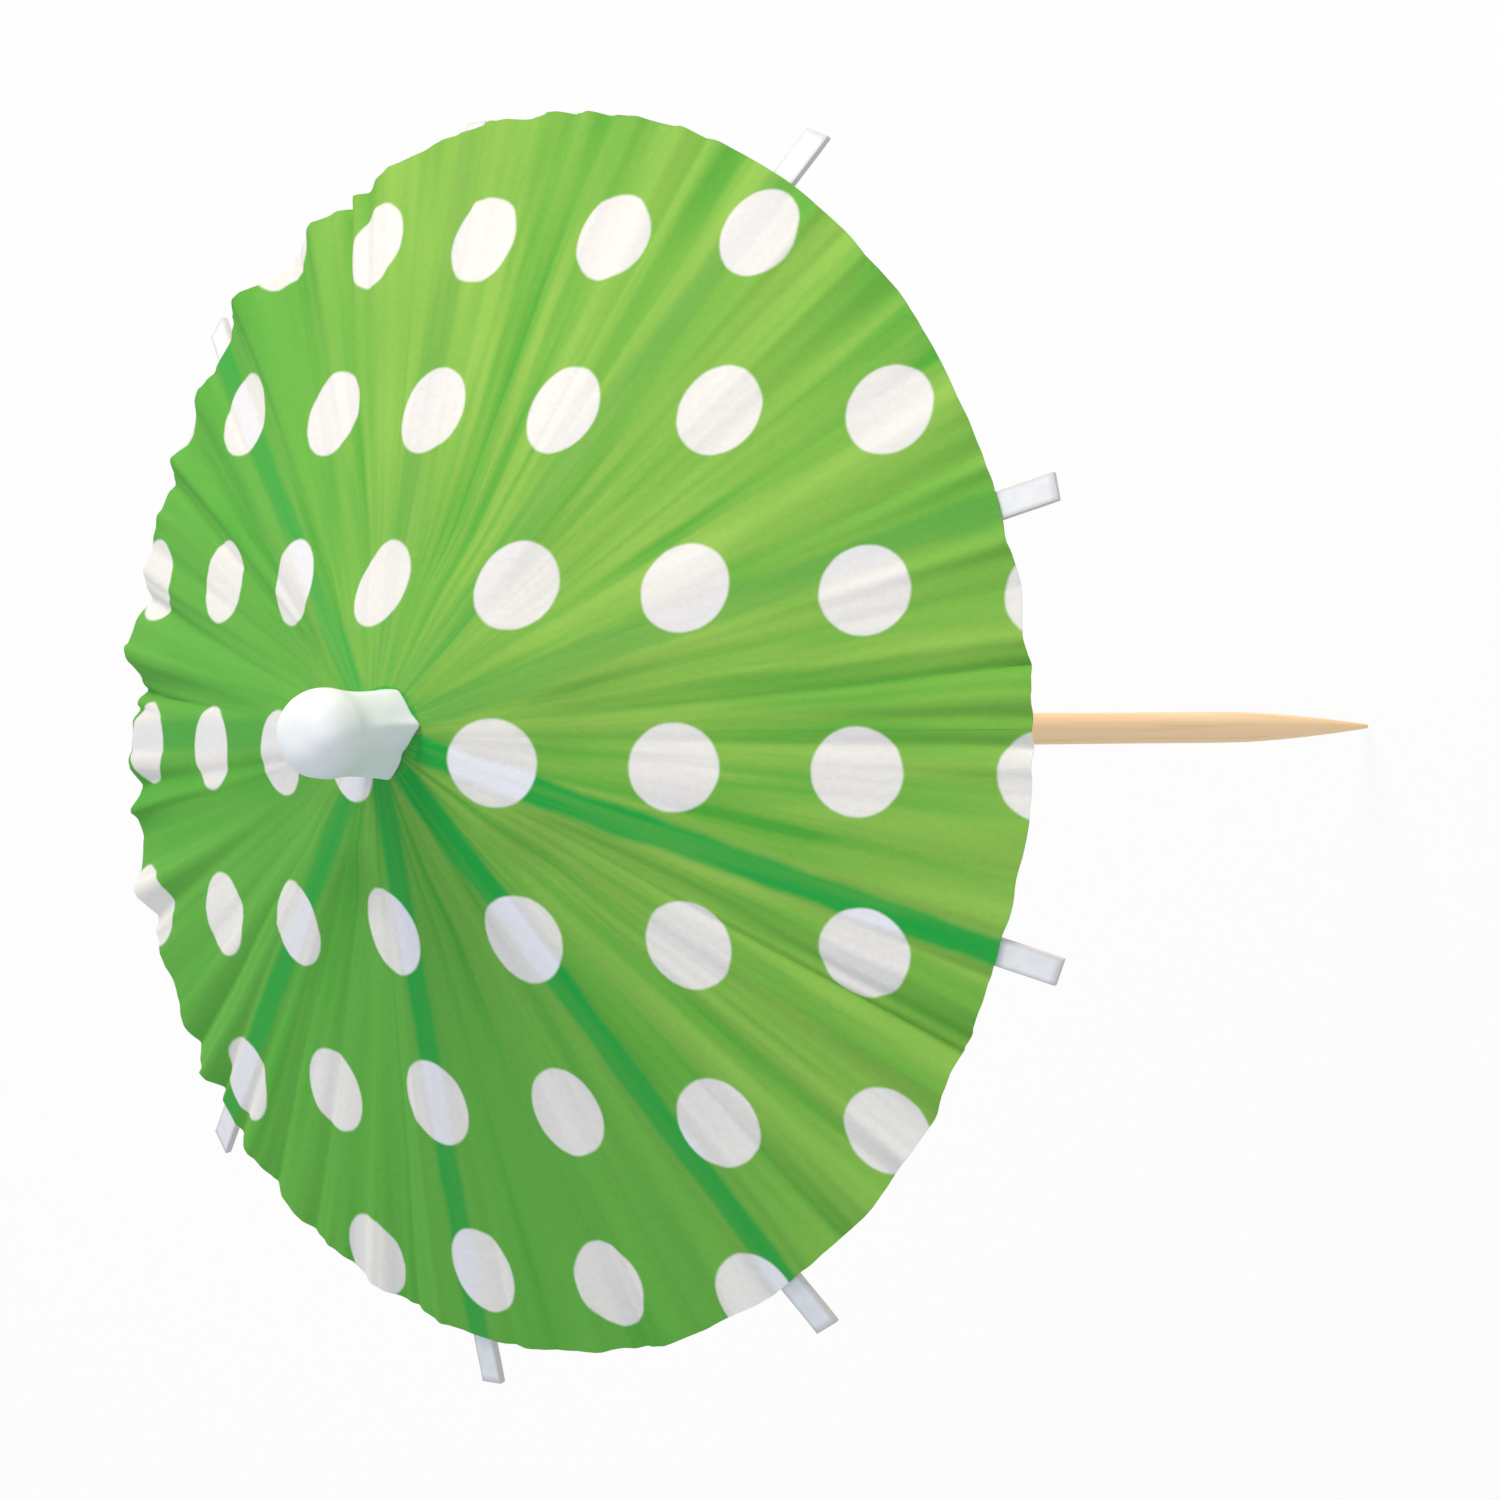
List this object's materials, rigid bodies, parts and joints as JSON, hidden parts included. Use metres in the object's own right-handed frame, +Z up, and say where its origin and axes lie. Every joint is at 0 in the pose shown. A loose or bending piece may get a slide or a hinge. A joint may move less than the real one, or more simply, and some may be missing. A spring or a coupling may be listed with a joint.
{
  "type": "cocktail umbrella pick",
  "caption": "Cocktail umbrella pick: green polka-dot paper canopy on creased card ribs and struts that fold down a pointed wooden stick, with cap, paper runner and retaining ring.",
  "frame": {"origin": "the stick's point, on the stick's axis", "axes": "+Z up along the stick towards the cap; +X along rib 1"},
  "size_m": [0.0759, 0.077, 0.1],
  "materials": {
    "birch": "sanded",
    "white_cap": "matte",
    "green_paper": "matte",
    "white_card": "matte",
    "newsprint": "matte",
    "clear_vinyl": "gloss"
  },
  "bodies": {
    "root": {"stick": "birch", "top_cap": "white_cap", "canopy_crown": "green_paper", "rib_hub": "white_card"},
    "rib_1": {"rib_1": "white_card"},
    "rib_2": {"rib_2": "white_card"},
    "rib_3": {"rib_3": "white_card"},
    "rib_4": {"rib_4": "white_card"},
    "rib_5": {"rib_5": "white_card"},
    "rib_6": {"rib_6": "white_card"},
    "rib_7": {"rib_7": "white_card"},
    "rib_8": {"rib_8": "white_card"},
    "rib_9": {"rib_9": "white_card"},
    "strut_1": {"strut_1": "white_card"},
    "panel_1_left": {"panel_1_left": "green_paper"},
    "panel_1_right": {"panel_1_right": "green_paper"},
    "strut_2": {"strut_2": "white_card"},
    "panel_2_left": {"panel_2_left": "green_paper"},
    "panel_2_right": {"panel_2_right": "green_paper"},
    "strut_3": {"strut_3": "white_card"},
    "panel_3_left": {"panel_3_left": "green_paper"},
    "panel_3_right": {"panel_3_right": "green_paper"},
    "strut_4": {"strut_4": "white_card"},
    "panel_4_left": {"panel_4_left": "green_paper"},
    "panel_4_right": {"panel_4_right": "green_paper"},
    "strut_5": {"strut_5": "white_card"},
    "panel_5_left": {"panel_5_left": "green_paper"},
    "panel_5_right": {"panel_5_right": "green_paper"},
    "strut_6": {"strut_6": "white_card"},
    "panel_6_left": {"panel_6_left": "green_paper"},
    "panel_6_right": {"panel_6_right": "green_paper"},
    "strut_7": {"strut_7": "white_card"},
    "panel_7_left": {"panel_7_left": "green_paper"},
    "panel_7_right": {"panel_7_right": "green_paper"},
    "strut_8": {"strut_8": "white_card"},
    "panel_8_left": {"panel_8_left": "green_paper"},
    "panel_8_right": {"panel_8_right": "green_paper"},
    "strut_9": {"strut_9": "white_card"},
    "panel_9_left": {"panel_9_left": "green_paper"},
    "panel_9_right": {"panel_9_right": "green_paper"},
    "runner": {"runner_collar": "white_card", "runner_sleeve": "newsprint"},
    "retaining_ring": {"retaining_ring": "clear_vinyl"}
  },
  "joints": [
    {"name": "canopy_fold", "type": "hinge", "parent": "root", "child": "rib_1", "pos_m": [0.00248, 0, 0.09239], "axis": [0, 1, 0], "range_deg": [0, 58], "deforming": ["panel_1_left", "panel_1_right", "panel_2_left", "panel_2_right", "panel_3_left", "panel_3_right", "panel_4_left", "panel_4_right", "panel_5_left", "panel_5_right", "panel_6_left", "panel_6_right", "panel_7_left", "panel_7_right", "panel_8_left", "panel_8_right", "panel_9_left", "panel_9_right"]},
    {"name": "rib_2_crease", "type": "hinge", "parent": "root", "child": "rib_2", "pos_m": [0.0019, 0.00159, 0.09239], "axis": [-0.6428, 0.766, 0], "range_deg": [0, 58]},
    {"name": "rib_3_crease", "type": "hinge", "parent": "root", "child": "rib_3", "pos_m": [0.00043, 0.00244, 0.09239], "axis": [-0.9848, 0.1736, 0], "range_deg": [0, 58]},
    {"name": "rib_4_crease", "type": "hinge", "parent": "root", "child": "rib_4", "pos_m": [-0.00124, 0.00215, 0.09239], "axis": [-0.866, -0.5, 0], "range_deg": [0, 58]},
    {"name": "rib_5_crease", "type": "hinge", "parent": "root", "child": "rib_5", "pos_m": [-0.00233, 0.00085, 0.09239], "axis": [-0.342, -0.9397, 0], "range_deg": [0, 58]},
    {"name": "rib_6_crease", "type": "hinge", "parent": "root", "child": "rib_6", "pos_m": [-0.00233, -0.00085, 0.09239], "axis": [0.342, -0.9397, 0], "range_deg": [0, 58]},
    {"name": "rib_7_crease", "type": "hinge", "parent": "root", "child": "rib_7", "pos_m": [-0.00124, -0.00215, 0.09239], "axis": [0.866, -0.5, 0], "range_deg": [0, 58]},
    {"name": "rib_8_crease", "type": "hinge", "parent": "root", "child": "rib_8", "pos_m": [0.00043, -0.00244, 0.09239], "axis": [0.9848, 0.1736, 0], "range_deg": [0, 58]},
    {"name": "rib_9_crease", "type": "hinge", "parent": "root", "child": "rib_9", "pos_m": [0.0019, -0.00159, 0.09239], "axis": [0.6428, 0.766, 0], "range_deg": [0, 58]},
    {"name": "strut_1_crease", "type": "hinge", "parent": "rib_1", "child": "strut_1", "pos_m": [0.01896, 0, 0.08515], "axis": [0, 1, 0], "range_deg": [-116, 0]},
    {"name": "panel_1_left_crease", "type": "hinge", "parent": "rib_1", "child": "panel_1_left", "pos_m": [0.00248, 0, 0.09278], "axis": [0.9252, 0, -0.3795], "range_deg": [0, 60.32]},
    {"name": "panel_1_right_crease", "type": "hinge", "parent": "rib_1", "child": "panel_1_right", "pos_m": [0.00248, 0, 0.09278], "axis": [0.9252, 0, -0.3795], "range_deg": [-60.32, 0]},
    {"name": "strut_2_crease", "type": "hinge", "parent": "rib_2", "child": "strut_2", "pos_m": [0.01453, 0.01219, 0.08515], "axis": [-0.6428, 0.766, 0], "range_deg": [-116, 0]},
    {"name": "panel_2_left_crease", "type": "hinge", "parent": "rib_2", "child": "panel_2_left", "pos_m": [0.0019, 0.00159, 0.09278], "axis": [0.7088, 0.5947, -0.3795], "range_deg": [0, 60.32]},
    {"name": "panel_2_right_crease", "type": "hinge", "parent": "rib_2", "child": "panel_2_right", "pos_m": [0.0019, 0.00159, 0.09278], "axis": [0.7088, 0.5947, -0.3795], "range_deg": [-60.32, 0]},
    {"name": "strut_3_crease", "type": "hinge", "parent": "rib_3", "child": "strut_3", "pos_m": [0.00329, 0.01868, 0.08515], "axis": [-0.9848, 0.1736, 0], "range_deg": [-116, 0]},
    {"name": "panel_3_left_crease", "type": "hinge", "parent": "rib_3", "child": "panel_3_left", "pos_m": [0.00043, 0.00244, 0.09278], "axis": [0.1607, 0.9112, -0.3795], "range_deg": [0, 60.32]},
    {"name": "panel_3_right_crease", "type": "hinge", "parent": "rib_3", "child": "panel_3_right", "pos_m": [0.00043, 0.00244, 0.09278], "axis": [0.1607, 0.9112, -0.3795], "range_deg": [-60.32, 0]},
    {"name": "strut_4_crease", "type": "hinge", "parent": "rib_4", "child": "strut_4", "pos_m": [-0.00948, 0.01642, 0.08515], "axis": [-0.866, -0.5, 0], "range_deg": [-116, 0]},
    {"name": "panel_4_left_crease", "type": "hinge", "parent": "rib_4", "child": "panel_4_left", "pos_m": [-0.00124, 0.00215, 0.09278], "axis": [-0.4626, 0.8013, -0.3795], "range_deg": [0, 60.32]},
    {"name": "panel_4_right_crease", "type": "hinge", "parent": "rib_4", "child": "panel_4_right", "pos_m": [-0.00124, 0.00215, 0.09278], "axis": [-0.4626, 0.8013, -0.3795], "range_deg": [-60.32, 0]},
    {"name": "strut_5_crease", "type": "hinge", "parent": "rib_5", "child": "strut_5", "pos_m": [-0.01782, 0.00649, 0.08515], "axis": [-0.342, -0.9397, 0], "range_deg": [-116, 0]},
    {"name": "panel_5_left_crease", "type": "hinge", "parent": "rib_5", "child": "panel_5_left", "pos_m": [-0.00233, 0.00085, 0.09278], "axis": [-0.8694, 0.3164, -0.3795], "range_deg": [0, 60.32]},
    {"name": "panel_5_right_crease", "type": "hinge", "parent": "rib_5", "child": "panel_5_right", "pos_m": [-0.00233, 0.00085, 0.09278], "axis": [-0.8694, 0.3164, -0.3795], "range_deg": [-60.32, 0]},
    {"name": "strut_6_crease", "type": "hinge", "parent": "rib_6", "child": "strut_6", "pos_m": [-0.01782, -0.00649, 0.08515], "axis": [0.342, -0.9397, 0], "range_deg": [-116, 0]},
    {"name": "panel_6_left_crease", "type": "hinge", "parent": "rib_6", "child": "panel_6_left", "pos_m": [-0.00233, -0.00085, 0.09278], "axis": [-0.8694, -0.3164, -0.3795], "range_deg": [0, 60.32]},
    {"name": "panel_6_right_crease", "type": "hinge", "parent": "rib_6", "child": "panel_6_right", "pos_m": [-0.00233, -0.00085, 0.09278], "axis": [-0.8694, -0.3164, -0.3795], "range_deg": [-60.32, 0]},
    {"name": "strut_7_crease", "type": "hinge", "parent": "rib_7", "child": "strut_7", "pos_m": [-0.00948, -0.01642, 0.08515], "axis": [0.866, -0.5, 0], "range_deg": [-116, 0]},
    {"name": "panel_7_left_crease", "type": "hinge", "parent": "rib_7", "child": "panel_7_left", "pos_m": [-0.00124, -0.00215, 0.09278], "axis": [-0.4626, -0.8013, -0.3795], "range_deg": [0, 60.32]},
    {"name": "panel_7_right_crease", "type": "hinge", "parent": "rib_7", "child": "panel_7_right", "pos_m": [-0.00124, -0.00215, 0.09278], "axis": [-0.4626, -0.8013, -0.3795], "range_deg": [-60.32, 0]},
    {"name": "strut_8_crease", "type": "hinge", "parent": "rib_8", "child": "strut_8", "pos_m": [0.00329, -0.01868, 0.08515], "axis": [0.9848, 0.1736, 0], "range_deg": [-116, 0]},
    {"name": "panel_8_left_crease", "type": "hinge", "parent": "rib_8", "child": "panel_8_left", "pos_m": [0.00043, -0.00244, 0.09278], "axis": [0.1607, -0.9112, -0.3795], "range_deg": [0, 60.32]},
    {"name": "panel_8_right_crease", "type": "hinge", "parent": "rib_8", "child": "panel_8_right", "pos_m": [0.00043, -0.00244, 0.09278], "axis": [0.1607, -0.9112, -0.3795], "range_deg": [-60.32, 0]},
    {"name": "strut_9_crease", "type": "hinge", "parent": "rib_9", "child": "strut_9", "pos_m": [0.01453, -0.01219, 0.08515], "axis": [0.6428, 0.766, 0], "range_deg": [-116, 0]},
    {"name": "panel_9_left_crease", "type": "hinge", "parent": "rib_9", "child": "panel_9_left", "pos_m": [0.0019, -0.00159, 0.09278], "axis": [0.7088, -0.5947, -0.3795], "range_deg": [0, 60.32]},
    {"name": "panel_9_right_crease", "type": "hinge", "parent": "rib_9", "child": "panel_9_right", "pos_m": [0.0019, -0.00159, 0.09278], "axis": [0.7088, -0.5947, -0.3795], "range_deg": [-60.32, 0]},
    {"name": "runner_crease", "type": "hinge", "parent": "strut_1", "child": "runner", "pos_m": [0.00248, 0, 0.0779], "axis": [0, 1, 0], "range_deg": [0, 58]},
    {"name": "ring_slide", "type": "slide", "parent": "runner", "child": "retaining_ring", "axis": [0, 0, 1], "range_m": [-0.01, 0]}
  ],
  "couplings": [
    {"joint": "rib_2_crease", "follows": "canopy_fold", "ratio": 1},
    {"joint": "rib_3_crease", "follows": "canopy_fold", "ratio": 1},
    {"joint": "rib_4_crease", "follows": "canopy_fold", "ratio": 1},
    {"joint": "rib_5_crease", "follows": "canopy_fold", "ratio": 1},
    {"joint": "rib_6_crease", "follows": "canopy_fold", "ratio": 1},
    {"joint": "rib_7_crease", "follows": "canopy_fold", "ratio": 1},
    {"joint": "rib_8_crease", "follows": "canopy_fold", "ratio": 1},
    {"joint": "rib_9_crease", "follows": "canopy_fold", "ratio": 1},
    {"joint": "strut_1_crease", "follows": "canopy_fold", "ratio": -2},
    {"joint": "panel_1_left_crease", "follows": "canopy_fold", "ratio": 1.04},
    {"joint": "panel_1_right_crease", "follows": "canopy_fold", "ratio": -1.04},
    {"joint": "strut_2_crease", "follows": "canopy_fold", "ratio": -2},
    {"joint": "panel_2_left_crease", "follows": "canopy_fold", "ratio": 1.04},
    {"joint": "panel_2_right_crease", "follows": "canopy_fold", "ratio": -1.04},
    {"joint": "strut_3_crease", "follows": "canopy_fold", "ratio": -2},
    {"joint": "panel_3_left_crease", "follows": "canopy_fold", "ratio": 1.04},
    {"joint": "panel_3_right_crease", "follows": "canopy_fold", "ratio": -1.04},
    {"joint": "strut_4_crease", "follows": "canopy_fold", "ratio": -2},
    {"joint": "panel_4_left_crease", "follows": "canopy_fold", "ratio": 1.04},
    {"joint": "panel_4_right_crease", "follows": "canopy_fold", "ratio": -1.04},
    {"joint": "strut_5_crease", "follows": "canopy_fold", "ratio": -2},
    {"joint": "panel_5_left_crease", "follows": "canopy_fold", "ratio": 1.04},
    {"joint": "panel_5_right_crease", "follows": "canopy_fold", "ratio": -1.04},
    {"joint": "strut_6_crease", "follows": "canopy_fold", "ratio": -2},
    {"joint": "panel_6_left_crease", "follows": "canopy_fold", "ratio": 1.04},
    {"joint": "panel_6_right_crease", "follows": "canopy_fold", "ratio": -1.04},
    {"joint": "strut_7_crease", "follows": "canopy_fold", "ratio": -2},
    {"joint": "panel_7_left_crease", "follows": "canopy_fold", "ratio": 1.04},
    {"joint": "panel_7_right_crease", "follows": "canopy_fold", "ratio": -1.04},
    {"joint": "strut_8_crease", "follows": "canopy_fold", "ratio": -2},
    {"joint": "panel_8_left_crease", "follows": "canopy_fold", "ratio": 1.04},
    {"joint": "panel_8_right_crease", "follows": "canopy_fold", "ratio": -1.04},
    {"joint": "strut_9_crease", "follows": "canopy_fold", "ratio": -2},
    {"joint": "panel_9_left_crease", "follows": "canopy_fold", "ratio": 1.04},
    {"joint": "panel_9_right_crease", "follows": "canopy_fold", "ratio": -1.04},
    {"joint": "runner_crease", "follows": "canopy_fold", "ratio": 1}
  ]
}
